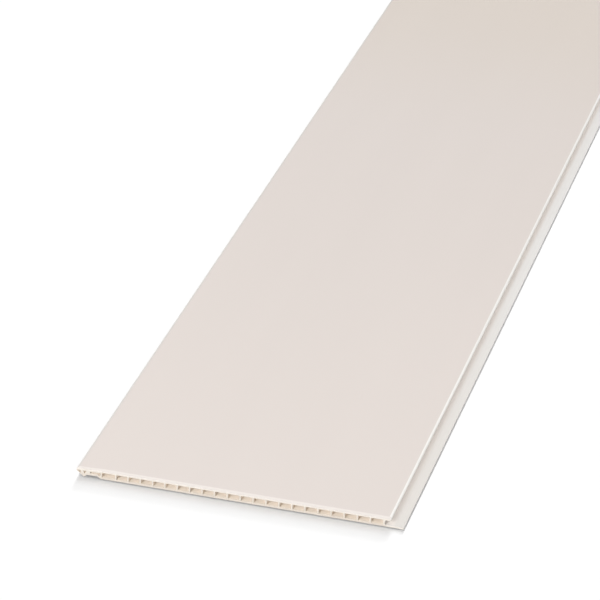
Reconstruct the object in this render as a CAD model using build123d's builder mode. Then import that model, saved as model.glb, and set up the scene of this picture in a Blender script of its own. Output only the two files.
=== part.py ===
from build123d import *
import math
import os

# Hollow wall and ceiling panel, extruded in rigid PVC as one piece.
# Millimetres. X runs across the panel, from the nose edge (-X) to the fixing flange (+X),
# Y along it, and Z up from the back face, which lies on the floor.
# The origin is the middle of the back face. The section is drawn from the nose tip, at
# its own X = 0, on a plane that starts half the overall width to the left of the origin.

# Overall sizes
panel_length = 2600.0
cover_width = 250.0             # nose tip to lip edge: what one fitted panel covers
panel_thickness = 7.0

# Walls of the hollow body
face_wall = 1.3
back_wall = 1.35
web_thickness = 1.0
cell_corner_radius = 0.45

# Cells: a wide one beside the nose, a row of narrow ones, then a row that ends at the groove
first_web_at = 19.95            # middle of the first web, from the nose tip
first_cell_pitch = 11.9
narrow_cells = 8
narrow_pitch = 9.92
nominal_pitch = 10.25           # the last row's own pitch is the nearest one that fills it

# Nose edge: a tongue that ends in a hook, with a recess below it
nose_top_radius = 1.4
tip_face = 2.6                  # upright face of the tip, from the panel's face to the hook's slope
tip_radius = 0.35
slope_run = 5.5                 # from the tip to the toe, across the panel
toe_width = 0.8
toe_radius = 0.3
heel_run = 2.1                  # from the toe up to the recess, across the panel
recess_height = 1.7
recess_radius = 0.5
ramp_run = 3.1                  # from the recess down to the back face, across the panel
ramp_radius = 0.8
ramp_setback = 0.3              # foot of the ramp, short of the first web's middle

# Cells of the nose edge
nose_face_wall = 1.95
nose_cell_radius = 0.2
tip_wall = 0.6
hook_wall = 0.55                # between the hook's outer slope and the tip cell
tip_cell_width = 2.9
tip_cell_side = 0.45            # height of the tip cell beside the tip's wall
hook_rib = 1.8                  # upright rib between the tip cell and the hook cell
hook_cell_width = 2.9
hook_cell_floor = 2.1
heel_rib = 2.9                  # solid part between the hook cell and the tongue cell
recess_wall = 1.5

# Groove edge: a groove between the lip above it and the fixing flange below it
lip_thickness = 1.4
lip_edge_radius = 1.05
lip_under_radius = 0.25
groove_depth = 4.65             # lip edge to the back of the groove
groove_wall = 1.5               # the last web, which closes the row of cells
groove_back_radius = 0.9
flange_reach = 10.0             # how far the flange stands out beyond the lip
flange_thickness = 1.35
flange_edge_radius = 0.35

# Worked out: places across the panel
overall_width = cover_width + flange_reach
toe_left = slope_run
toe_right = toe_left + toe_width
heel_at = toe_right + heel_run
ramp_end_at = first_web_at - ramp_setback
ramp_start_at = ramp_end_at - ramp_run
first_cell_left = first_web_at + web_thickness / 2
first_cell_width = first_cell_pitch - web_thickness
groove_back = cover_width - groove_depth

# Worked out: heights and the two rows of like cells
tip_height = panel_thickness - tip_face
groove_ceiling = panel_thickness - lip_thickness
cell_height = panel_thickness - face_wall - back_wall
cell_middle = back_wall + cell_height / 2
narrow_row_start = first_web_at + first_cell_pitch
narrow_row_end = narrow_row_start + narrow_cells * narrow_pitch
last_row_end = groove_back - groove_wall + web_thickness / 2
last_cells = round((last_row_end - narrow_row_end) / nominal_pitch)
last_pitch = (last_row_end - narrow_row_end) / last_cells

# Each row of like cells: the web's middle at its start, how many cells, and their pitch
cell_rows = [
    (narrow_row_start, narrow_cells, narrow_pitch),
    (narrow_row_end, last_cells, last_pitch),
]

# The lip's rounding leaves a little of its upright edge
lip_upright = lip_thickness - lip_under_radius
lip_rounding = min(lip_edge_radius, 0.95 * lip_upright)

# Outline of the section: each corner's place across the panel, its height and its radius
outline = [
    (0, panel_thickness, nose_top_radius),
    (cover_width, panel_thickness, lip_rounding),
    (cover_width, groove_ceiling, lip_under_radius),
    (groove_back, groove_ceiling, groove_back_radius),
    (groove_back, flange_thickness, groove_back_radius),
    (overall_width, flange_thickness, flange_edge_radius),
    (overall_width, 0, flange_edge_radius),
    (ramp_end_at, 0, ramp_radius),
    (ramp_start_at, recess_height, ramp_radius),
    (heel_at, recess_height, recess_radius),
    (toe_right, 0, toe_radius),
    (toe_left, 0, toe_radius),
    (0, tip_height, tip_radius),
]

# The tip cell's floor keeps one wall's thickness from the hook's outer slope
hook_slope = math.atan2(tip_height, slope_run)
floor_at_tip = tip_height + hook_wall / math.cos(hook_slope)
tip_cell_right = tip_wall + tip_cell_width
tip_cell_floor = floor_at_tip - tip_wall * math.tan(hook_slope)
tip_cell = [
    (tip_wall, tip_cell_floor),
    (tip_wall, tip_cell_floor + tip_cell_side),
    (tip_cell_right, tip_cell_floor + tip_cell_side),
    (tip_cell_right, floor_at_tip - tip_cell_right * math.tan(hook_slope)),
]

# The hook cell is a triangle that points down at the toe
nose_ceiling = panel_thickness - nose_face_wall
hook_cell_left = tip_cell_right + hook_rib
hook_cell_right = hook_cell_left + hook_cell_width
hook_cell = [
    (hook_cell_left, nose_ceiling),
    (hook_cell_right, nose_ceiling),
    (toe_right, hook_cell_floor),
]

# The tongue cell's floor runs level above the recess, then down beside the ramp
tongue_cell_left = hook_cell_right + heel_rib
tongue_cell_right = first_web_at - web_thickness / 2
tongue_floor = recess_height + recess_wall
ramp_angle = math.atan2(recess_height, ramp_run)
floor_bend_at = ramp_start_at + recess_wall * math.tan(ramp_angle / 2)
floor_drop = (tongue_cell_right - floor_bend_at) * math.tan(ramp_angle)
tongue_cell = [
    (tongue_cell_left, tongue_floor),
    (tongue_cell_left, nose_ceiling),
    (tongue_cell_right, nose_ceiling),
    (tongue_cell_right, tongue_floor - floor_drop),
    (floor_bend_at, tongue_floor),
]

section_plane = Plane(
    origin=(-overall_width / 2, 0, 0), x_dir=(1, 0, 0), z_dir=(0, -1, 0)
)

with BuildPart() as wall_panel:
    with BuildSketch(section_plane):
        # The outer shape: nose, face, lip, groove, flange and back
        with BuildLine():
            FilletPolyline(
                [(across, height) for across, height, radius in outline],
                radius=[radius for across, height, radius in outline],
                close=True,
            )
        make_face()

        # The three cells of the nose edge, each one an outline of its own
        for corners in (tip_cell, hook_cell, tongue_cell):
            with BuildLine():
                FilletPolyline(corners, radius=nose_cell_radius, close=True)
            make_face(mode=Mode.SUBTRACT)

        # The wide first cell
        with Locations((first_cell_left + first_cell_width / 2, cell_middle)):
            RectangleRounded(
                first_cell_width, cell_height, cell_corner_radius, mode=Mode.SUBTRACT
            )

        # The rows of like cells, each followed by a web, and the last by the groove's wall
        for row_start, cells, pitch in cell_rows:
            with Locations((row_start + cells * pitch / 2, cell_middle)):
                with GridLocations(pitch, 0, cells, 1):
                    RectangleRounded(
                        pitch - web_thickness,
                        cell_height,
                        cell_corner_radius,
                        mode=Mode.SUBTRACT,
                    )

    extrude(amount=panel_length / 2, both=True)

wall_panel.part.label = "wall_panel"

os.makedirs("parts", exist_ok=True)
export_step(wall_panel.part, "parts/wall_panel.step")
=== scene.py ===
import math

import bpy
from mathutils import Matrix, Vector


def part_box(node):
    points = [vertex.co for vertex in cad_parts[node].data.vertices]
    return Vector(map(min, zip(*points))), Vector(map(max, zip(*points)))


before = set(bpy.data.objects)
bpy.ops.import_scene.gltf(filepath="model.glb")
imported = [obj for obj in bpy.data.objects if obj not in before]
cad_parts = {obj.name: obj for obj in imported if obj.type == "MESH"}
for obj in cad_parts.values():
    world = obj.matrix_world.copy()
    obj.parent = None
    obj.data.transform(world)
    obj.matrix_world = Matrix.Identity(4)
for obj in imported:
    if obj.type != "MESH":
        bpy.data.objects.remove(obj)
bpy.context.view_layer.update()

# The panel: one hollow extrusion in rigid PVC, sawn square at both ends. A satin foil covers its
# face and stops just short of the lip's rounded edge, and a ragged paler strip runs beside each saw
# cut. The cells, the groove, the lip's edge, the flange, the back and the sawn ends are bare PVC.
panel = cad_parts["wall_panel"]
panel_low, panel_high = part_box("wall_panel")
half_length = panel_high.y
face_height = panel_high.z
nose_tip = panel_low.x
flange_reach = 0.0100           # the flange stands out this far past the lip
lip_edge = panel_high.x - flange_reach
lip_thickness = 0.0014


def new_node(tree, kind, settings=None, **inputs):
    """Adds a node. Settings are its own properties. An input has the name of its socket, or n0,
    n1 and so on after its place, and it is a number, a colour or a link."""
    node = tree.nodes.new(kind)
    for name, value in (settings or {}).items():
        setattr(node, name, value)
    for name, value in inputs.items():
        by_place = name[1:].isdigit()
        socket = node.inputs[int(name[1:])] if by_place else node.inputs[name.replace("_", " ")]
        if isinstance(value, bpy.types.NodeSocket):
            tree.links.new(value, socket)
        else:
            socket.default_value = value
    return node


def maths(tree, operation, *values):
    """One Math node: the operation on one, two or three numbers or links."""
    inputs = {f"n{place}": value for place, value in enumerate(values)}
    return new_node(tree, "ShaderNodeMath", {"operation": operation}, **inputs).outputs[0]


def rise(tree, value, start, end):
    """A mask that climbs smoothly from 0 at start to 1 at end. Start may be the larger."""
    settings = {"interpolation_type": "SMOOTHSTEP"}
    return new_node(
        tree, "ShaderNodeMapRange", settings, Value=value, From_Min=start, From_Max=end
    ).outputs[0]


def above(tree, value, limit):
    """A mask that is 1 where the value is over the limit, and 0 elsewhere."""
    return maths(tree, "GREATER_THAN", value, limit)


def below(tree, value, limit):
    """A mask that is 1 where the value is under the limit, and 0 elsewhere."""
    return maths(tree, "LESS_THAN", value, limit)


def both(tree, first, second):
    """The product of two masks, which is 1 where both are."""
    return maths(tree, "MULTIPLY", first, second)


def either(tree, first, second):
    """The larger of two masks, which is 1 where at least one of them is."""
    return maths(tree, "MAXIMUM", first, second)


def blend_colours(tree, mask, under, over):
    """The under colour where the mask is 0 and the over colour where it is 1."""
    node = new_node(tree, "ShaderNodeMix", {"data_type": "RGBA"}, n0=mask)
    for place, colour in ((6, under), (7, over)):
        if isinstance(colour, bpy.types.NodeSocket):
            tree.links.new(colour, node.inputs[place])
        else:
            node.inputs[place].default_value = (*colour, 1)
    return node.outputs[2]


def blend_numbers(tree, mask, under, over):
    """The under number where the mask is 0 and the over number where it is 1."""
    return new_node(tree, "ShaderNodeMix", n0=mask, n2=under, n3=over).outputs[0]


def vary(tree, colour, mask, darkest, lightest):
    """The colour times a value that runs from darkest to lightest with the mask."""
    value = blend_numbers(tree, mask, darkest, lightest)
    return new_node(tree, "ShaderNodeHueSaturation", Color=colour, Value=value).outputs[0]


def stretched_noise(tree, place, grain, detail, turn=(0, 0, 0)):
    """Noise from 0 to 1 whose grains have the given size in metres along X, Y and Z."""
    mapped = new_node(
        tree, "ShaderNodeMapping", Vector=place, Rotation=turn, Scale=[1 / size for size in grain]
    ).outputs[0]
    return new_node(
        tree, "ShaderNodeTexNoise", Vector=mapped, Scale=1.0, Detail=detail
    ).outputs["Fac"]


inside_walls = 0.0005           # a depth inside the face wall and the back wall
inside_nose = 0.0002            # a depth inside the walls of the nose
hook_height = 0.0044            # the nose slopes from this height at its tip down to its toe
hook_run = 0.0055               # from the nose tip to the toe
recess_height = 0.0017
nose_cells_run = 0.0194         # from the nose tip to the first web
last_web = lip_edge - 0.0055    # a line inside the web that closes the groove


def inside_cells(tree, across, up):
    """A mask for the cells' walls, from the nose tip to the web that closes the groove."""
    between_walls = both(
        tree, above(tree, up, inside_walls), below(tree, up, face_height - inside_walls)
    )
    slope = hook_height / hook_run
    over_slope = maths(tree, "MULTIPLY_ADD", across, slope, up)
    above_slope = above(tree, over_slope, hook_height + inside_nose + slope * nose_tip)
    above_recess = either(
        tree,
        above(tree, up, recess_height + inside_nose),
        above(tree, across, nose_tip + nose_cells_run),
    )
    before_groove = below(tree, across, last_web)
    return both(
        tree, both(tree, between_walls, above_slope), both(tree, above_recess, before_groove)
    )


inside_flange = 0.0010          # a height inside the flange
inside_lip = 0.00005            # a depth inside the lip's underside
painted_light_fades = (0.0010, 0.0035)    # out past the lip's edge, where the painted light on the flange fades


def painted_light_by_groove(tree, across, up):
    """A mask for painted light on the groove's walls and on the strip of the flange just outside
    the groove, which lightens the lip's shadow there.
    """
    fade_start, fade_end = [lip_edge + reach for reach in painted_light_fades]
    beside = both(tree, above(tree, across, last_web), rise(tree, across, fade_end, fade_start))
    under_lip = below(tree, up, face_height - lip_thickness + inside_lip)
    return both(tree, beside, both(tree, above(tree, up, inside_flange), under_lip))


strip_width = 0.0036
strip_width_at_nose = 0.0026
strip_widens = (0.008, 0.022)   # between these distances from the nose tip
strip_raggedness = 0.0006
strip_softness = 0.0002


def beside_saw_cut(tree, place, across, from_end):
    """A mask for a ragged paler strip beside each saw cut, narrower at the nose. It is where the
    distance from the end is less than the strip's width there."""
    rag = stretched_noise(tree, place, grain=(0.004, 0.004, 0.004), detail=4.0)
    from_nose = rise(tree, across, *[nose_tip + run for run in strip_widens])
    width = blend_numbers(tree, from_nose, strip_width_at_nose, strip_width)
    centred_rag = maths(tree, "SUBTRACT", rag, 0.5)
    ragged_width = maths(tree, "MULTIPLY_ADD", centred_rag, strip_raggedness, width)
    past_strip = maths(tree, "SUBTRACT", from_end, ragged_width)
    return rise(tree, past_strip, strip_softness, -strip_softness)


# Where each finish starts and stops
face_depths = (0.00012, 0.00004)        # the foil starts between these depths below the face
foil_stop_at_lip = 0.0016
foil_fade_at_lip = 0.0006
saw_cut_depths = (0.00003, 0.00001)     # from the end
nose_shade_widths = (0.0028, 0.0010)     # from the nose tip, where the painted shade on the nose's rounded edge fades
cut_highlight_before_lip = (0.006, 0.002)    # the cut gets a painted highlight at the flange between these
foil_tint_turns = (0.62, 0.95)               # from the end, where the foil turns to its painted tint, warmer and darker where the light falls off
pvc_shade_turns = (0.0, 0.5)                  # from the end, where bare PVC leaves the painted shade that darkens it near the ends

# Colours. A pair of shades is the least and the most that a pattern multiplies its colour by.
foil_colour = (0.708, 0.644, 0.605)
# painted light: the foil away from its ends, warmer and darker where the light falls off
foil_far_painted_tint = (0.696, 0.626, 0.566)
foil_shades = (0.985, 1.015)
pvc_colour = (0.748, 0.731, 0.710)
# painted shade: bare PVC near the ends, darker for how the light falls along the panel
pvc_end_painted_shade = (0.704, 0.674, 0.638)
pvc_shades = (0.96, 1.04)
# the saw cut's colour with painted shade at its foot, and painted light at the face wall and at the
# flange
sawn_foot_shaded_colour = (0.885, 0.805, 0.710)
sawn_top_lit_colour = (0.960, 0.900, 0.820)
sawn_shades = (0.93, 1.05)
# bare PVC on the lip's rounded edge, made lighter than the rest as a painted highlight
bare_and_highlit_edge_colour = (0.870, 0.853, 0.822)
# painted light: a paler colour in the groove and beside the lip, which lightens the lip's shadow
groove_painted_light_colour = (0.785, 0.740, 0.700)
# painted shade on the nose's rounded edge, which gets little light from the left
nose_edge_shade_colour = (0.640, 0.610, 0.580)
# painted light: the cells' walls paler and warmer, for light that soaks through the thin walls and
# bounces between them
cells_painted_light_colour = (0.960, 0.880, 0.790)
strip_colour = (0.810, 0.752, 0.712)

# Roughness and relief
foil_roughness = (0.38, 0.46)   # from patch to patch
pvc_roughness = 0.5
cut_roughness = 0.75
relief_strength = 0.6
relief_depth = 0.00002
foil_relief = 0.12              # this and the next two are shares of the relief's depth
die_line_relief = 0.6
saw_mark_relief = 2.0
saw_mark_slant = math.radians(24)


def panel_finish():
    """Foil on the face, bare PVC elsewhere, with pale rough saw cuts."""
    material = bpy.data.materials.new("panel_pvc")
    material.use_nodes = True
    tree = material.node_tree
    shader = tree.nodes["Principled BSDF"]
    place = new_node(tree, "ShaderNodeTexCoord").outputs["Object"]
    across, along, up = new_node(tree, "ShaderNodeSeparateXYZ", Vector=place).outputs

    # Where each finish lies
    from_end = maths(tree, "SUBTRACT", half_length, maths(tree, "ABSOLUTE", along))
    sawn = rise(tree, from_end, *saw_cut_depths)
    on_face = rise(tree, up, *[face_height - depth for depth in face_depths])
    foil_stop = lip_edge - foil_stop_at_lip
    before_lip = rise(tree, across, foil_stop, foil_stop - foil_fade_at_lip)
    covered = both(tree, on_face, before_lip)
    pale_strip = both(tree, on_face, beside_saw_cut(tree, place, across, from_end))
    on_lip_edge = both(
        tree,
        above(tree, up, face_height - lip_thickness),
        above(tree, across, lip_edge - 2 * foil_stop_at_lip),
    )
    nose_edge_shade = rise(tree, across, *[nose_tip + width for width in nose_shade_widths])

    # The foil, with a slow mottle, and a painted tint away from its ends where the light falls off
    mottle = stretched_noise(tree, place, grain=(0.05, 0.4, 0.05), detail=2.0)
    far_from_end = rise(tree, from_end, *foil_tint_turns)
    foil = blend_colours(tree, far_from_end, foil_colour, foil_far_painted_tint)
    foil = vary(tree, foil, mottle, *foil_shades)

    # Bare PVC, with faint lines that the die leaves along it, and painted shade near the ends
    die_lines = stretched_noise(tree, place, grain=(0.0015, 0.6, 0.0015), detail=3.0)
    bare = blend_colours(tree, rise(tree, from_end, *pvc_shade_turns), pvc_end_painted_shade, pvc_colour)
    bare = vary(tree, bare, die_lines, *pvc_shades)
    # the lip's rounded edge: bare PVC with a painted highlight
    bare = blend_colours(tree, on_lip_edge, bare, bare_and_highlit_edge_colour)

    # The saw cut, with slanting saw marks, and painted light: darker at its foot, paler up towards
    # the face wall, with a painted highlight at the flange
    saw_marks = stretched_noise(
        tree, place, grain=(0.0008, 0.0008, 0.00015), detail=4.0, turn=(0, saw_mark_slant, 0)
    )
    cut_painted_light = either(
        tree,
        rise(tree, up, inside_flange, face_height),
        rise(tree, across, *[lip_edge - run for run in cut_highlight_before_lip]),
    )
    cut = blend_colours(tree, cut_painted_light, sawn_foot_shaded_colour, sawn_top_lit_colour)
    cut = vary(tree, cut, saw_marks, *sawn_shades)

    colour = blend_colours(tree, covered, bare, foil)
    # painted light in the groove and beside the lip
    colour = blend_colours(tree, painted_light_by_groove(tree, across, up), colour, groove_painted_light_colour)
    # painted shade on the nose's rounded edge
    colour = blend_colours(tree, nose_edge_shade, colour, nose_edge_shade_colour)
    # painted light in the cells
    colour = blend_colours(tree, inside_cells(tree, across, up), colour, cells_painted_light_colour)
    colour = blend_colours(tree, pale_strip, colour, strip_colour)
    colour = blend_colours(tree, sawn, colour, cut)
    tree.links.new(colour, shader.inputs["Base Color"])

    # Satin foil, duller bare PVC and a rough saw cut
    gloss_change = stretched_noise(tree, place, grain=(0.02, 0.15, 0.02), detail=3.0)
    satin = blend_numbers(tree, gloss_change, *foil_roughness)
    roughness = blend_numbers(tree, covered, pvc_roughness, satin)
    roughness = blend_numbers(tree, either(tree, pale_strip, sawn), roughness, cut_roughness)
    tree.links.new(roughness, shader.inputs["Roughness"])

    # Relief: the foil's fine pebble, the die's lines and the saw's marks
    pebble = stretched_noise(tree, place, grain=(0.0004, 0.0004, 0.0004), detail=2.0)
    foil_height = maths(tree, "MULTIPLY", pebble, foil_relief)
    pvc_height = maths(tree, "MULTIPLY", die_lines, die_line_relief)
    cut_height = maths(tree, "MULTIPLY", saw_marks, saw_mark_relief)
    height = blend_numbers(tree, covered, pvc_height, foil_height)
    height = blend_numbers(tree, sawn, height, cut_height)
    bump = new_node(
        tree, "ShaderNodeBump", Strength=relief_strength, Distance=relief_depth, Height=height
    ).outputs[0]
    tree.links.new(bump, shader.inputs["Normal"])
    return material


panel.material_slots[0].material = panel_finish()

# The floor: a plain white surface just below the panel. It keeps the panel's soft shadow, and its
# own colour makes the white background.
floor_size = 60.0
floor_drop = 0.0014             # the long panel bows a little, so its near end stands clear
floor_bounce = (0.80, 0.80, 0.80)
floor_seen = (1.0, 1.0, 1.0)


def seen_rays(tree):
    """A mask that is 1 for what the camera sees, directly or by way of a shiny or clear surface."""
    rays = new_node(tree, "ShaderNodeLightPath").outputs
    indirect = either(tree, rays["Is Glossy Ray"], rays["Is Transmission Ray"])
    return either(tree, rays["Is Camera Ray"], indirect)


def floor_finish():
    """Plain white to the camera, a little darker for the light that it throws back."""
    material = bpy.data.materials.new("floor_white")
    material.use_nodes = True
    tree = material.node_tree
    colour = blend_colours(tree, seen_rays(tree), floor_bounce, floor_seen)
    surface = new_node(tree, "ShaderNodeBsdfDiffuse", Color=colour).outputs[0]
    tree.links.new(surface, tree.nodes["Material Output"].inputs["Surface"])
    return material


half_floor = floor_size / 2
floor_corners = [
    (-half_floor, -half_floor, -floor_drop),
    (half_floor, -half_floor, -floor_drop),
    (half_floor, half_floor, -floor_drop),
    (-half_floor, half_floor, -floor_drop),
]
floor_mesh = bpy.data.meshes.new("floor")
floor_mesh.from_pydata(floor_corners, [], [(0, 1, 2, 3)])
floor_mesh.materials.append(floor_finish())
floor = bpy.data.objects.new("floor", floor_mesh)
bpy.context.scene.collection.objects.link(floor)

# The studio light. Each lamp lights one object, and its level is the share of white that it gives
# a level surface. The lamps stay out of reflections, which show the white surroundings. The
# panel's key lamp is large and near, at the front left of its near end.
key_azimuth = -165
key_elevation = 31.5
key_distance = 3.5
key_width = 1.1
key_level = 0.31


def lamp_direction(azimuth, elevation):
    """The direction towards a lamp. Azimuth runs from straight behind the panel towards +X."""
    turn, lift = math.radians(azimuth), math.radians(elevation)
    return Vector(
        (math.sin(turn) * math.cos(lift), math.cos(turn) * math.cos(lift), math.sin(lift))
    )


def place_lamp(name, data, azimuth, elevation, lit):
    """A lamp that lights one object, out of the camera's and the reflections' sight."""
    towards = lamp_direction(azimuth, elevation)
    lamp = bpy.data.objects.new(name, data)
    lamp.rotation_mode = "QUATERNION"
    lamp.rotation_quaternion = towards.to_track_quat("Z", "Y")
    lamp.visible_camera = False
    lamp.visible_glossy = False
    lamp.light_linking.receiver_collection = bpy.data.collections.new(name + "_lights")
    lamp.light_linking.receiver_collection.objects.link(lit)
    bpy.context.scene.collection.objects.link(lamp)
    return lamp


def soft_lamp(name, azimuth, elevation, spread, level, lit):
    """A distant round lamp, whose spread is the angle that it fills in the sky. Its energy is its
    level times pi, over the sine of its elevation."""
    data = bpy.data.lights.new(name, "SUN")
    data.angle = math.radians(spread)
    data.energy = level * math.pi / math.sin(math.radians(elevation))
    return place_lamp(name, data, azimuth, elevation, lit)


key_data = bpy.data.lights.new("lamp_key", "AREA")
key_data.shape = "DISK"
key_data.size = key_width

# A disk lamp's light thins out with the square of the distance
key_data.energy = key_level * (math.pi * key_distance) ** 2 / math.sin(math.radians(key_elevation))
key_lamp = place_lamp("lamp_key", key_data, key_azimuth, key_elevation, panel)
near_end = Vector((0, -half_length, 0))
key_lamp.location = near_end + key_distance * lamp_direction(key_azimuth, key_elevation)

# The panel's other lamps: one above, and one behind at the right, over the groove edge. Thin PVC
# lets some light through, so the light from the panel's left casts no shadow in its cells.
soft_lamp("lamp_above", azimuth=180, elevation=80, spread=40, level=0.15, lit=panel)
soft_lamp("lamp_behind", azimuth=40, elevation=42, spread=40, level=0.36, lit=panel)
through_lamp = soft_lamp(
    "lamp_through", azimuth=-100, elevation=50, spread=30, level=0.15, lit=panel
)
through_lamp.data.use_shadow = False

# The floor's lamps. Half of their light comes from behind, from three heights, so that a short
# shadow that fades evenly lies before the near end. Only one lamp stands low at the front, so the
# narrow gap below the panel stays dark.
soft_lamp("floor_above", azimuth=-165, elevation=68, spread=24, level=0.25, lit=floor)
soft_lamp("floor_front", azimuth=160, elevation=28, spread=20, level=0.19, lit=floor)
soft_lamp("floor_steep", azimuth=-6, elevation=60, spread=26, level=0.19, lit=floor)
soft_lamp("floor_behind", azimuth=-6, elevation=40, spread=18, level=0.13, lit=floor)
soft_lamp("floor_low", azimuth=-6, elevation=23, spread=12, level=0.12, lit=floor)

# The surroundings: white where they are seen, and a weak even fill where they give light
sky_fill = (0.15, 0.15, 0.15)
sky_seen = (1.0, 1.0, 1.0)
world = bpy.data.worlds.new("studio")
bpy.context.scene.world = world
world.use_nodes = True
sky = world.node_tree
sky_colour = blend_colours(sky, seen_rays(sky), sky_fill, sky_seen)
sky.links.new(sky_colour, sky.nodes["Background"].inputs["Color"])

# The camera: a long lens from the panel's near end and right, looking down on it. It is aimed at
# a point on the back face that is measured from the nose tip and the near sawn end.
camera_azimuth = math.radians(16.773)
camera_elevation = math.radians(29.631)
camera_distance = 2.58696
aim_from_nose = 0.08574
aim_from_end = 0.30965
sensor_width = 36.0
focal_share = 5.1007            # focal length over the picture's width

camera_data = bpy.data.cameras.new("camera")
camera_data.sensor_width = sensor_width
camera_data.lens = focal_share * sensor_width
camera = bpy.data.objects.new("camera", camera_data)
towards_camera = Vector(
    (
        math.sin(camera_azimuth) * math.cos(camera_elevation),
        -math.cos(camera_azimuth) * math.cos(camera_elevation),
        math.sin(camera_elevation),
    )
)
aim = Vector((nose_tip + aim_from_nose, aim_from_end - half_length, 0))
camera.location = aim + camera_distance * towards_camera
camera.rotation_mode = "QUATERNION"
camera.rotation_quaternion = towards_camera.to_track_quat("Z", "Y")
bpy.context.scene.collection.objects.link(camera)
bpy.context.scene.camera = camera
bpy.context.scene.view_settings.view_transform = "Standard"
